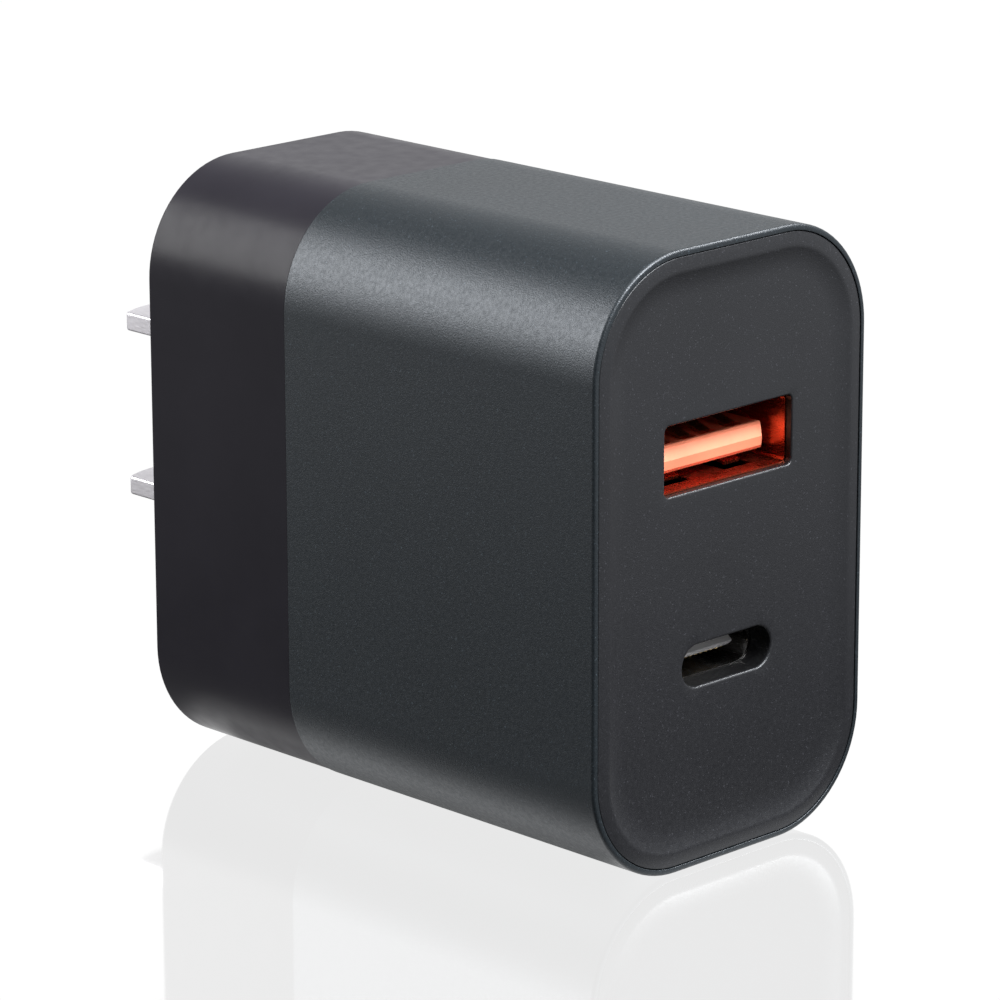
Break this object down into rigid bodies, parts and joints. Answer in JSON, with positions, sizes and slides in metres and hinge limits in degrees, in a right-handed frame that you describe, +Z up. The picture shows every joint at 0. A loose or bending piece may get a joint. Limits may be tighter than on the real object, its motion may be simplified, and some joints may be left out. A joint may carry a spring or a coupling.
{
  "type": "usb wall charger",
  "caption": "Compact wall charger: rounded rectangular body, USB-A above USB-C on a dished front panel, fixed flat mains blades on the rear cover.",
  "frame": {"origin": "under the middle of the object's box, at the level of the body's lowest face", "axes": "+X across the body's width, +Y from the outlet face towards the blades, +Z up, with the USB-A outlet above the USB-C one"},
  "size_m": [0.0266, 0.0596, 0.0434],
  "materials": {
    "textured_shell": "fine spark-eroded matte",
    "smooth_cover": "satin smooth",
    "nickel_plate": "bright nickel plating",
    "shell_steel": "plated sheet steel",
    "orange_plastic": "satin moulded",
    "grey_plastic": "satin moulded",
    "black_plastic": "satin moulded",
    "contact_metal": "gold flashed",
    "circuit_board": "solder mask over glass laminate",
    "ferrite": "sintered",
    "copper_wire": "enamelled",
    "yellow_tape": "polyester tape",
    "can_sleeve": "shrink sleeve",
    "blue_coat": "dipped epoxy",
    "yellow_case": "moulded box",
    "fuse_case": "moulded case",
    "white_sheet": "insulating film",
    "pad_grey": "soft gap pad",
    "aluminium": "plain sheet"
  },
  "bodies": {
    "root": {"main_sleeve": "textured_shell", "front_panel": "textured_shell", "rear_cover": "smooth_cover", "upper_blade": "nickel_plate", "lower_blade": "nickel_plate", "usb_a_shell": "shell_steel", "usb_a_insulator": "orange_plastic", "usb_a_contact_1": "contact_metal", "usb_a_contact_2": "contact_metal", "usb_a_contact_3": "contact_metal", "usb_a_contact_4": "contact_metal", "usb_c_shell": "shell_steel", "usb_c_insulator": "grey_plastic", "usb_c_contacts_upper": "contact_metal", "usb_c_contacts_lower": "contact_metal", "transformer_core_lower": "ferrite", "transformer_core_upper": "ferrite", "transformer_bobbin": "black_plastic", "transformer_winding": "copper_wire", "transformer_tape": "yellow_tape", "bulk_capacitor_1": "can_sleeve", "bulk_capacitor_2": "can_sleeve", "output_capacitor_1": "aluminium", "output_capacitor_2": "aluminium", "choke_core": "ferrite", "choke_winding_1": "copper_wire", "choke_winding_2": "copper_wire", "mains_filter_capacitor": "yellow_case", "fuse": "fuse_case", "surge_varistor": "blue_coat", "safety_capacitor": "blue_coat", "optocoupler": "black_plastic", "bridge_rectifier": "black_plastic", "switching_chip": "black_plastic", "synchronous_rectifier": "black_plastic", "upper_blade_contact": "contact_metal", "lower_blade_contact": "contact_metal", "board_header": "black_plastic", "main_board": "circuit_board", "port_board": "circuit_board", "port_controller_chip": "black_plastic", "output_inductor": "ferrite", "heat_spreader": "aluminium", "thermal_pad": "pad_grey", "insulating_sheet": "white_sheet"}
  },
  "joints": []
}
